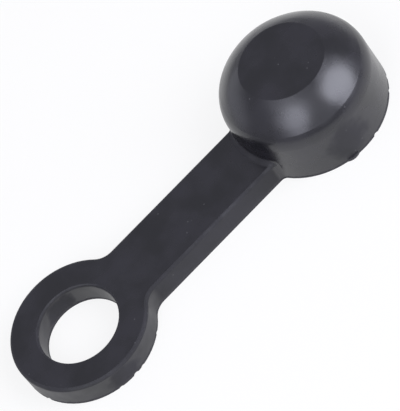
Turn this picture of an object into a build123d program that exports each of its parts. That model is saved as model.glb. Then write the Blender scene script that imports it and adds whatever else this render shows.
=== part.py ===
from build123d import *
import os
from math import cos, hypot, radians, sin

# Dust cap for a bleed screw, moulded in one piece of black rubber.
# The flat underside lies at Z 0 and the origin is the centre of the cap's mouth.
# The strap and its ring run towards -X. Sizes are in millimetres, angles in degrees.

# Spacing of the ring and the cap
cap_to_ring = 23.66

# Cap, outside
foot_radius = 5.98
rim_radius = 5.9
rim_height = 4.19
rim_round = 2.0
shoulder_bulge = 0.27
crown_radius = 3.33
cap_height = 6.58
crown_round = 0.2

# Blind bore that takes the tip of the bleed screw
bore_radius = 3.1
bore_depth = 5.0
bore_end_chamfer = 0.8

# Ring and strap, one flat web
web_thickness = 2.05
ring_radius = 5.47
hole_radius = 3.2
strap_width = 5.24
ring_blend = 1.5
skirt_blend = 0.5
web_edge_round = 0.26
hole_edge_round = 0.18

# Mould marks along the foot: angle about the axis against depth
nick_ball_radius = 0.35
ring_nicks = {-165: 0.08, -102: 0.06, -87: 0.11, -79: 0.05, -50: 0.05}
cap_nicks = {-77: 0.1, -41: 0.06, -29: 0.07, -6: 0.06}

# Scrap of flash left on the foot of the cap
flash_angle = -100
flash_reach = 0.15
flash_disc_radius = 0.9
flash_thickness = 0.25

# Slack for telling edges apart
slack = 0.01


def nearest_corner(section, place):
    """Corner of a flat section that lies nearest a point."""
    return section.vertices().sort_by_distance(place)[0]


def turned(section):
    """Turn a half section, drawn as radius against height, about Z."""
    return revolve(Plane.XZ * section, Axis.Z)


def cap_body():
    """Steep skirt, rounded rim, bulging shoulder and flat crown."""
    rim = (rim_radius, rim_height)
    crown = (crown_radius, cap_height)
    side = Polyline((0, 0), (foot_radius, 0), rim)
    shoulder = SagittaArc(rim, crown, -shoulder_bulge)
    section = make_face(side + shoulder + Polyline(crown, (0, cap_height), (0, 0)))
    rounds = {rim: rim_round, crown: crown_round}
    for place, radius in rounds.items():
        section = fillet(nearest_corner(section, place), radius)
    return turned(section)


def cap_bore():
    """Straight blind bore with a chamfered end."""
    end = (bore_radius, bore_depth)
    section = make_face(Polyline((0, 0), (bore_radius, 0), end, (0, bore_depth), close=True))
    return turned(chamfer(nearest_corner(section, end), bore_end_chamfer))


def web_plan():
    """Ring and strap in plan, with the strap's sides swept into the ring."""
    ring = Pos(-cap_to_ring, 0) * Circle(ring_radius)
    strap = Pos(-cap_to_ring / 2, 0) * Rectangle(cap_to_ring, strap_width)
    plan = ring + strap
    side = strap_width / 2 - slack
    corners = plan.vertices().filter_by(lambda v: abs(v.Y) > side and v.X < -ring_radius)
    hole = Pos(-cap_to_ring, 0) * Circle(hole_radius)
    return fillet(corners, ring_blend) - hole


def on_web_rim(edge):
    """True for an edge of the web's top, all but the one that ends inside the cap."""
    level = all(abs((edge @ t).Z - web_thickness) < slack for t in (0, 0.5, 1))
    return level and (edge @ 0.5).X < -slack


def round_hole(edge):
    """True for the edge of the ring's hole."""
    return edge.geom_type == GeomType.CIRCLE and abs(edge.radius - hole_radius) < slack


def web_body():
    """Flat ring and strap with softened upper edges."""
    web = extrude(web_plan(), web_thickness)
    outside = web.edges().filter_by(on_web_rim).filter_by(lambda edge: not round_hole(edge))
    web = fillet(outside, web_edge_round)
    hole = web.edges().filter_by(on_web_rim).filter_by(round_hole)
    return fillet(hole, hole_edge_round)


def skirt_radius(height):
    """Radius of the skirt's slope at a height above the floor."""
    return foot_radius + (rim_radius - foot_radius) * height / rim_height


def meets_skirt(edge):
    """True for an edge where the strap's top or side runs into the skirt."""
    middle = edge @ 0.5
    on_skirt = abs(hypot(middle.X, middle.Y) - skirt_radius(middle.Z)) < slack
    on_strap = middle.X < 0 and abs(middle.Y) < strap_width / 2 + slack
    return on_skirt and on_strap and slack < middle.Z < web_thickness + slack


def polar(radius, angle):
    """Place on the floor at a radius and an angle about Z."""
    return Pos(radius * cos(radians(angle)), radius * sin(radians(angle)))


def nick(foot, angle, depth):
    """Ball that bites a small nick out of a foot's lower edge."""
    return polar(foot - depth + nick_ball_radius, angle) * Sphere(nick_ball_radius)


def flash():
    """Thin scrap of flash that stands out from the cap's foot."""
    on_floor = (Align.CENTER, Align.CENTER, Align.MIN)
    disc = Cylinder(flash_disc_radius, flash_thickness, align=on_floor)
    return polar(foot_radius + flash_reach - flash_disc_radius, flash_angle) * disc


def bleed_cap():
    """The whole moulding."""
    body = cap_body() + web_body()
    body = fillet(body.edges().filter_by(meets_skirt), skirt_blend)
    body = body + flash() - cap_bore()
    for angle, depth in ring_nicks.items():
        body = body - Pos(-cap_to_ring, 0) * nick(ring_radius, angle, depth)
    for angle, depth in cap_nicks.items():
        body = body - nick(foot_radius, angle, depth)
    return body


os.makedirs("parts", exist_ok=True)
export_step(bleed_cap(), "parts/bleed_cap.step")
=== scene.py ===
"""Bleed screw cap in black rubber: finish, pale floor, soft light and the photograph's camera."""

import math

import bpy
from mathutils import Matrix, Vector

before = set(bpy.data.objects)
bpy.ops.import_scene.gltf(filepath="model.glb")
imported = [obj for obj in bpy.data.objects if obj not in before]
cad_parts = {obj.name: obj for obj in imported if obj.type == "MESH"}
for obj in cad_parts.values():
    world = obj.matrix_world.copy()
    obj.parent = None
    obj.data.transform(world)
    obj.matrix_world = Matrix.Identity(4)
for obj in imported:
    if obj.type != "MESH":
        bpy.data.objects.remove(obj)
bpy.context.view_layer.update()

MM = 0.001

# Camera: aim point in the part's frame. Turn about Z from the -Y side, height and roll in degrees
AIM = Vector((-12.16, 0.0, 2.0)) * MM
CAMERA_TURN = -10.83
CAMERA_HEIGHT = 50.95
CAMERA_ROLL = -37.09
CAMERA_DISTANCE = 260.0 * MM
AIM_RIGHT = -0.868 * MM
AIM_DOWN = 0.458 * MM
PIXELS_PER_MM = 13.7
PHOTO_HEIGHT = 411
SENSOR = 36.0
CLIP_START = 0.01

# Studio: colours are linear. The floor is white round the part and fades to grey
FLOOR_SIZE = 1.2
FLOOR_COLOUR = (0.8, 0.8, 0.79, 1.0)
FLOOR_FAR_COLOUR = (0.50, 0.50, 0.49, 1.0)
FLOOR_WHITE_SHARE = 0.82
FLOOR_FADE_START = 27 * MM
FLOOR_FADE_END = 75 * MM
WORLD_COLOUR = (0.41, 0.412, 0.452, 1.0)
LAMP_COLOUR = (0.98, 0.985, 1.09)
SOFTBOX_DISTANCE = 0.35

# Round softboxes: azimuth, elevation, half width and half height in degrees, and radiance
SOFTBOXES = {
    "softbox_right": (-41, 38, 29, 28, 1.1),
    "softbox_right_core": (-45, 36, 22, 21, 3.4),
    "softbox_left": (-140, 46, 23, 27, 0.8),
    "softbox_left_core": (-137, 43, 14, 19, 2.4),
    "softbox_front": (-98, 45, 22, 34, 0.48),
    "softbox_top": (180, 68, 18, 16, 0.7),
    "softbox_back": (125, 12, 28, 14, 0.5),
}

# Rubber: colours are linear
RUBBER_DARK = (0.0062, 0.0060, 0.0078, 1.0)
RUBBER_LIGHT = (0.0125, 0.0118, 0.0158, 1.0)
RUBBER_DUST = (0.085, 0.085, 0.088, 1.0)
RUBBER_WORN = (0.021, 0.020, 0.023, 1.0)
RUBBER_IOR = 1.68
RUBBER_SHEEN_TINT = (0.955, 0.965, 1.0, 1.0)
SHINY_ROUGHNESS = 0.22
DULL_ROUGHNESS = 0.30
WORN_ROUGHNESS = 0.85

# Mottling of tone and gloss: size of the blotches, and the noise values that count as 0 and 1
MOTTLE_SIZE = 2.4 * MM
TONE_RANGE = (0.32, 0.68)
GLOSS_RANGE = (0.3, 0.7)

# Relief of the skin: size of the blotches and height
GRAIN_SIZE = 0.16 * MM
GRAIN_HEIGHT = 0.0035 * MM
WAVE_SIZE = 2.2 * MM
WAVE_HEIGHT = 0.022 * MM
WALL_WAVE_SIZE = 1.7 * MM
WALL_WAVE_HEIGHT = 0.14 * MM

# Dust: spacing of the cells, radius of a speck as a share of it, patches where specks show
DUST_SPACING = 0.9 * MM
DUST_RADIUS = 0.09
DUST_PATCH_SIZE = 2 * DUST_SPACING
DUST_PATCH_LIMIT = 0.55

# Places on the part: heights above the floor and distances from the cap's axis
WEB_TOP = 2.05 * MM
TOP_BAND = 0.004 * MM
CAP_REACH = 6.0 * MM
RING_SIDE = 17.5 * MM

# Upright walls: size of the normal's Z at which a face starts and ends to count as one
UPRIGHT_START = 0.5
UPRIGHT_FULL = 0.1

# Worn upper edges of the web: depth below its top, blotches, noise range and wear
WEB_EDGE = 0.40 * MM
EDGE_MOTTLE_SIZE = 1.5 * MOTTLE_SIZE
EDGE_RANGE = (0.35, 0.6)
EDGE_WEAR = (0.55, 1.0)

# Worn foot: height that it reaches and size of its ragged blotches
FOOT_EDGE = 0.35 * MM
FOOT_MOTTLE_SIZE = 3 * GRAIN_SIZE

# Wear of the web's walls: it sets in past the cap's blend and eases where the ring begins
STRAP_SIDE_WEAR = 0.8
RING_WALL_WEAR = 0.38
STRAP_SIDE_START = 6.1 * MM
STRAP_SIDE_FULL = 6.5 * MM
STRAP_SIDE_FADE = 18.0 * MM
STRAP_SIDE_END = 18.7 * MM

# Dull marks on the walls: place in the part's frame, core and reach in millimetres, and strength
DULL_MARKS = {
    "inside_hole": ((-23.5, 3.2, 0.6), 0.7, 2.0, 1.0),
    "outside_ring": ((-24.0, -5.45, 0.8), 0.6, 2.3, 1.0),
    "cap_wall": ((-0.7, -5.92, 1.9), 1.0, 2.6, 0.75),
}
MARK_RAGGED = 0.3 * MM
MARK_GRAIN = 1.3 * MM
MARK_RANGE = (0.3, 0.7)


def direction(azimuth, elevation):
    """Unit vector at an azimuth from +X and an elevation above the floor, in degrees."""
    a, e = math.radians(azimuth), math.radians(elevation)
    return Vector((math.cos(a) * math.cos(e), math.sin(a) * math.cos(e), math.sin(e)))


def add_camera():
    """Camera at the photograph's viewpoint, rolled as it was held."""
    back = direction(CAMERA_TURN - 90, CAMERA_HEIGHT)
    forward = -back
    level_right = forward.cross(Vector((0, 0, 1))).normalized()
    level_up = level_right.cross(forward)
    roll = math.radians(CAMERA_ROLL)
    right = level_right * math.cos(roll) + level_up * math.sin(roll)
    up = level_up * math.cos(roll) - level_right * math.sin(roll)
    place = AIM - AIM_RIGHT * right + AIM_DOWN * up - CAMERA_DISTANCE * forward
    data = bpy.data.cameras.new("camera")
    focal_pixels = PIXELS_PER_MM * CAMERA_DISTANCE / MM
    data.sensor_width = SENSOR
    data.lens = focal_pixels * SENSOR / PHOTO_HEIGHT
    data.clip_start = CLIP_START
    camera = bpy.data.objects.new("camera", data)
    turn = Matrix((right, up, -forward)).transposed().to_4x4()
    camera.matrix_world = Matrix.Translation(place) @ turn
    bpy.context.scene.collection.objects.link(camera)
    bpy.context.scene.camera = camera


def add_softbox(name, azimuth, elevation, half_width, half_height, radiance):
    """Round soft light that faces the middle of the part."""
    data = bpy.data.lights.new(name, "AREA")
    data.shape = "ELLIPSE"
    data.size = 2 * SOFTBOX_DISTANCE * math.tan(math.radians(half_width))
    data.size_y = 2 * SOFTBOX_DISTANCE * math.tan(math.radians(half_height))
    data.color = LAMP_COLOUR
    data.energy = radiance * math.pi * math.pi / 4 * data.size * data.size_y
    light = bpy.data.objects.new(name, data)
    towards = direction(azimuth, elevation)
    light.location = AIM + towards * SOFTBOX_DISTANCE
    light.rotation_euler = towards.to_track_quat("Z", "Y").to_euler()
    bpy.context.scene.collection.objects.link(light)


class Nodes:
    """Short calls that add and join the nodes of one material."""

    def __init__(self, material):
        material.use_nodes = True
        self.tree = material.node_tree

    def add(self, kind, **settings):
        """New node with its settings."""
        node = self.tree.nodes.new(kind)
        for name, value in settings.items():
            setattr(node, name, value)
        return node

    def set(self, socket, value):
        """Join a socket to an output, or give it a plain value."""
        if isinstance(value, bpy.types.NodeSocket):
            self.tree.links.new(value, socket)
        else:
            socket.default_value = value

    def math(self, operation, *values):
        """Sum, product or other result of one to three values."""
        node = self.add("ShaderNodeMath", operation=operation)
        for socket, value in zip(node.inputs, values):
            self.set(socket, value)
        return node.outputs[0]

    def ramp(self, value, low, high, to_low=0.0, to_high=1.0):
        """Smooth change from one value to another between two limits."""
        node = self.add("ShaderNodeMapRange", interpolation_type="SMOOTHSTEP")
        for socket, given in zip(node.inputs, (value, low, high, to_low, to_high)):
            self.set(socket, given)
        return node.outputs[0]

    def blend(self, share, first, second):
        """Colour between two colours."""
        node = self.add("ShaderNodeMix", data_type="RGBA")
        self.set(node.inputs["Factor"], share)
        self.set(node.inputs[6], first)
        self.set(node.inputs[7], second)
        return node.outputs[2]

    def place(self):
        """Place on the surface in the part's own frame, in metres."""
        return self.add("ShaderNodeTexCoord").outputs["Object"]

    def product(self, first, *others):
        """Product of two or more values."""
        for other in others:
            first = self.math("MULTIPLY", first, other)
        return first

    def highest(self, first, *others):
        """Highest of two or more values."""
        for other in others:
            first = self.math("MAXIMUM", first, other)
        return first

    def distance(self, point):
        """Distance of the surface from a point, in metres."""
        node = self.add("ShaderNodeVectorMath", operation="DISTANCE")
        self.set(node.inputs[0], self.place())
        self.set(node.inputs[1], point)
        return node.outputs["Value"]

    def coordinate(self, vector, axis):
        """One coordinate of a vector."""
        node = self.add("ShaderNodeSeparateXYZ")
        self.set(node.inputs[0], vector)
        return node.outputs[axis]

    def noise(self, size, detail=2.0):
        """Soft noise whose blotches have about this size."""
        node = self.add("ShaderNodeTexNoise")
        self.set(node.inputs["Vector"], self.place())
        self.set(node.inputs["Scale"], 1 / size)
        self.set(node.inputs["Detail"], detail)
        return node.outputs[0]


def shown_ray(nodes):
    """1 for a ray of the camera, a reflection or a refraction, 0 for a ray that only lights."""
    path = nodes.add("ShaderNodeLightPath")
    kinds = ("Is Camera Ray", "Is Glossy Ray", "Is Transmission Ray")
    return nodes.highest(*[path.outputs[kind] for kind in kinds])


def floor_material():
    """Nearly white round the part, with a soft shadow, and grey further out."""
    material = bpy.data.materials.new("floor")
    nodes = Nodes(material)
    nodes.tree.nodes.clear()
    away = nodes.distance(Vector((AIM.x, AIM.y, 0)))
    near = nodes.ramp(away, FLOOR_FADE_START, FLOOR_FADE_END, 1.0, 0.0)
    diffuse = nodes.add("ShaderNodeBsdfDiffuse")
    nodes.set(diffuse.inputs["Color"], nodes.blend(near, FLOOR_FAR_COLOUR, FLOOR_COLOUR))
    white = nodes.add("ShaderNodeEmission")
    mix = nodes.add("ShaderNodeMixShader")
    nodes.set(mix.inputs["Fac"], nodes.product(shown_ray(nodes), near, FLOOR_WHITE_SHARE))
    nodes.set(mix.inputs[1], diffuse.outputs[0])
    nodes.set(mix.inputs[2], white.outputs[0])
    nodes.set(nodes.add("ShaderNodeOutputMaterial").inputs["Surface"], mix.outputs[0])
    return material


def add_floor():
    """Plain square floor under the part."""
    half = FLOOR_SIZE / 2
    corners = [(-half, -half, 0), (half, -half, 0), (half, half, 0), (-half, half, 0)]
    mesh = bpy.data.meshes.new("floor")
    mesh.from_pydata(corners, [], [(0, 1, 2, 3)])
    mesh.materials.append(floor_material())
    floor = bpy.data.objects.new("floor", mesh)
    bpy.context.scene.collection.objects.link(floor)


def set_world():
    """Plain grey surround."""
    world = bpy.data.worlds.new("studio")
    bpy.context.scene.world = world
    world.use_nodes = True
    world.node_tree.nodes["Background"].inputs["Color"].default_value = WORLD_COLOUR


def from_axis(nodes):
    """Distance of the surface from the cap's axis."""
    level = nodes.add("ShaderNodeVectorMath", operation="MULTIPLY")
    nodes.set(level.inputs[0], nodes.place())
    nodes.set(level.inputs[1], (1, 1, 0))
    length = nodes.add("ShaderNodeVectorMath", operation="LENGTH")
    nodes.set(length.inputs[0], level.outputs[0])
    return length.outputs["Value"]


def beyond(nodes, distance):
    """1 where the surface lies further from the cap's axis than a distance."""
    return nodes.math("GREATER_THAN", from_axis(nodes), distance)


def upright_wall(nodes):
    """1 on walls that stand upright, 0 on level and rounded faces."""
    normal = nodes.add("ShaderNodeNewGeometry").outputs["Normal"]
    level = nodes.math("ABSOLUTE", nodes.coordinate(normal, "Z"))
    return nodes.ramp(level, UPRIGHT_START, UPRIGHT_FULL)


def worn_top_edge(nodes):
    """Up to 1 on the web's rounded upper edges and on its blend into the cap, unevenly dull."""
    height = nodes.coordinate(nodes.place(), "Z")
    from_top = nodes.math("ABSOLUTE", nodes.math("SUBTRACT", height, WEB_TOP))
    off_top = nodes.math("GREATER_THAN", from_top, TOP_BAND)
    on_edge = nodes.ramp(height, WEB_TOP - WEB_EDGE, WEB_TOP - WEB_EDGE / 2)
    uneven = nodes.ramp(nodes.noise(EDGE_MOTTLE_SIZE), *EDGE_RANGE, *EDGE_WEAR)
    return nodes.product(off_top, on_edge, uneven, beyond(nodes, CAP_REACH))


def web_wall_wear(nodes, upright):
    """Wear of the web's upright walls, which are duller on the strap than on the ring."""
    distance = from_axis(nodes)
    past_cap = nodes.ramp(distance, STRAP_SIDE_START, STRAP_SIDE_FULL)
    limits = (STRAP_SIDE_END, STRAP_SIDE_FADE, RING_WALL_WEAR, STRAP_SIDE_WEAR)
    return nodes.product(past_cap, nodes.ramp(distance, *limits), upright)


def dull_marks(nodes, upright):
    """Up to 1 on a few ragged dull marks on the upright walls."""
    marks = 0.0
    for place, core, reach, strength in DULL_MARKS.values():
        away = nodes.distance(Vector(place) * MM)
        ragged = nodes.ramp(nodes.noise(MARK_GRAIN), *MARK_RANGE, -MARK_RAGGED, MARK_RAGGED)
        ragged_away = nodes.math("ADD", away, ragged)
        mark = nodes.ramp(ragged_away, reach * MM, core * MM, 0.0, strength)
        marks = nodes.highest(mark, marks)
    return nodes.product(marks, upright)


def worn_foot(nodes):
    """1 at the foot, where the flash was torn off, fading out upwards."""
    ragged = nodes.product(nodes.noise(FOOT_MOTTLE_SIZE), FOOT_EDGE)
    height = nodes.math("SUBTRACT", nodes.coordinate(nodes.place(), "Z"), ragged)
    return nodes.ramp(height, FOOT_EDGE / 2, 0.0)


def dust(nodes):
    """1 on a few small specks."""
    cells = nodes.add("ShaderNodeTexVoronoi")
    nodes.set(cells.inputs["Vector"], nodes.place())
    nodes.set(cells.inputs["Scale"], 1 / DUST_SPACING)
    speck = nodes.ramp(cells.outputs["Distance"], DUST_RADIUS, 0.0)
    patch = nodes.noise(DUST_PATCH_SIZE, detail=0.0)
    return nodes.product(speck, nodes.math("GREATER_THAN", patch, DUST_PATCH_LIMIT))


def rubber_colour(nodes, foot):
    """Near-black that varies a little, greyer at the foot, with a few specks of dust."""
    mottle = nodes.ramp(nodes.noise(MOTTLE_SIZE, detail=3.0), *TONE_RANGE)
    rubber = nodes.blend(mottle, RUBBER_DARK, RUBBER_LIGHT)
    dusty = nodes.blend(dust(nodes), rubber, RUBBER_DUST)
    return nodes.blend(foot, dusty, RUBBER_WORN)


def rubber_roughness(nodes, foot, upright):
    """Satin skin that varies a little and is dull where it is worn."""
    mottle = nodes.noise(MOTTLE_SIZE, detail=4.0)
    skin = nodes.ramp(mottle, *GLOSS_RANGE, SHINY_ROUGHNESS, DULL_ROUGHNESS)
    sides = web_wall_wear(nodes, upright)
    worn = nodes.highest(worn_top_edge(nodes), foot, dull_marks(nodes, upright), sides)
    return nodes.ramp(worn, 0.0, 1.0, skin, WORN_ROUGHNESS)


def add_bump(nodes, height, distance, below=None):
    """Surface relief of a height pattern, laid over another relief."""
    bump = nodes.add("ShaderNodeBump")
    nodes.set(bump.inputs["Height"], height)
    nodes.set(bump.inputs["Distance"], distance)
    if below:
        nodes.set(bump.inputs["Normal"], below)
    return bump.outputs[0]


def rubber_bump(nodes, upright):
    """Fine grain of the mould, a slow unevenness of the skin and rougher walls on the ring."""
    grain = add_bump(nodes, nodes.noise(GRAIN_SIZE), GRAIN_HEIGHT)
    waves = add_bump(nodes, nodes.noise(WAVE_SIZE, detail=1.0), WAVE_HEIGHT, grain)
    depth = nodes.product(upright, beyond(nodes, RING_SIDE), WALL_WAVE_HEIGHT)
    return add_bump(nodes, nodes.noise(WALL_WAVE_SIZE, detail=1.0), depth, waves)


def black_rubber():
    """Satin moulded rubber."""
    material = bpy.data.materials.new("black_rubber")
    nodes = Nodes(material)
    shader = nodes.tree.nodes["Principled BSDF"]
    foot = worn_foot(nodes)
    upright = upright_wall(nodes)
    nodes.set(shader.inputs["Base Color"], rubber_colour(nodes, foot))
    nodes.set(shader.inputs["Roughness"], rubber_roughness(nodes, foot, upright))
    nodes.set(shader.inputs["IOR"], RUBBER_IOR)
    nodes.set(shader.inputs["Specular Tint"], RUBBER_SHEEN_TINT)
    nodes.set(shader.inputs["Normal"], rubber_bump(nodes, upright))
    return material


add_camera()
add_floor()
set_world()
for name, values in SOFTBOXES.items():
    add_softbox(name, *values)
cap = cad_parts["bleed_cap"]
cap.data.materials.clear()
cap.data.materials.append(black_rubber())

bpy.context.scene.view_settings.view_transform = "Standard"
